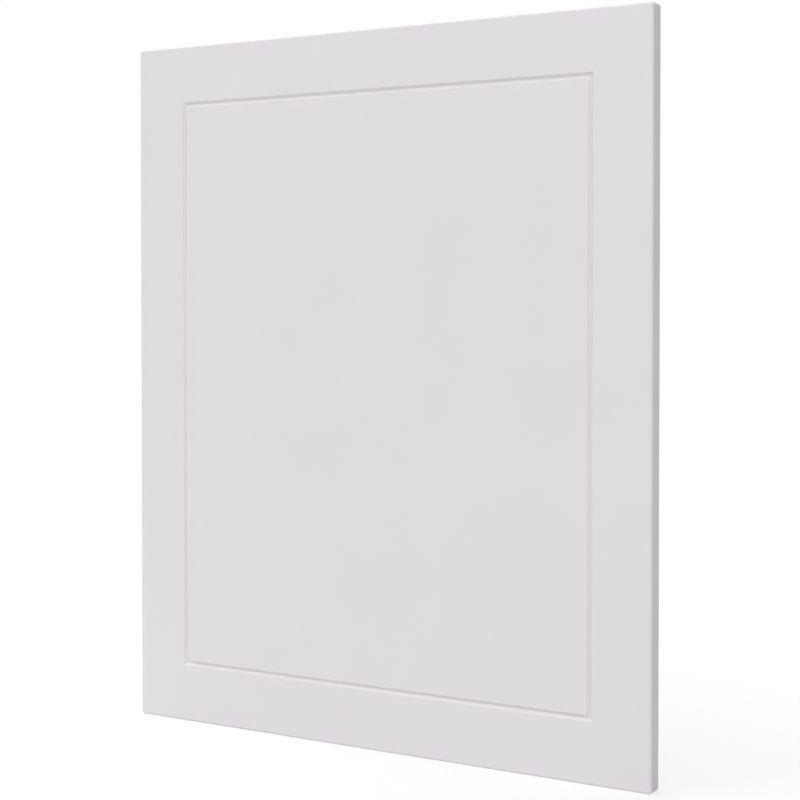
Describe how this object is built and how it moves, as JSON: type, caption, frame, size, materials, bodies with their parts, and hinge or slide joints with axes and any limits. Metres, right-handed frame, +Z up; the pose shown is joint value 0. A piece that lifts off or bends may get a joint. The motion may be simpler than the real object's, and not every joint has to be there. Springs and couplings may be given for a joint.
{
  "type": "kitchen cabinet door",
  "caption": "Flat kitchen cabinet door leaf with a frame-shaped groove in its front, rounded front edges, and hinge cups bored into its back.",
  "frame": {"origin": "at the level of the bottom edge, under the middle of the leaf's width and thickness", "axes": "+Z up along the height, +X along the width, to the right seen from the front, +Y from the front to the back"},
  "size_m": [0.596, 0.016, 0.716],
  "materials": {
    "foil_faced_mdf": "smooth matt foil in a very light grey on the front and edges, white melamine on the back"
  },
  "bodies": {
    "root": {"door_leaf": "foil_faced_mdf"}
  },
  "joints": []
}
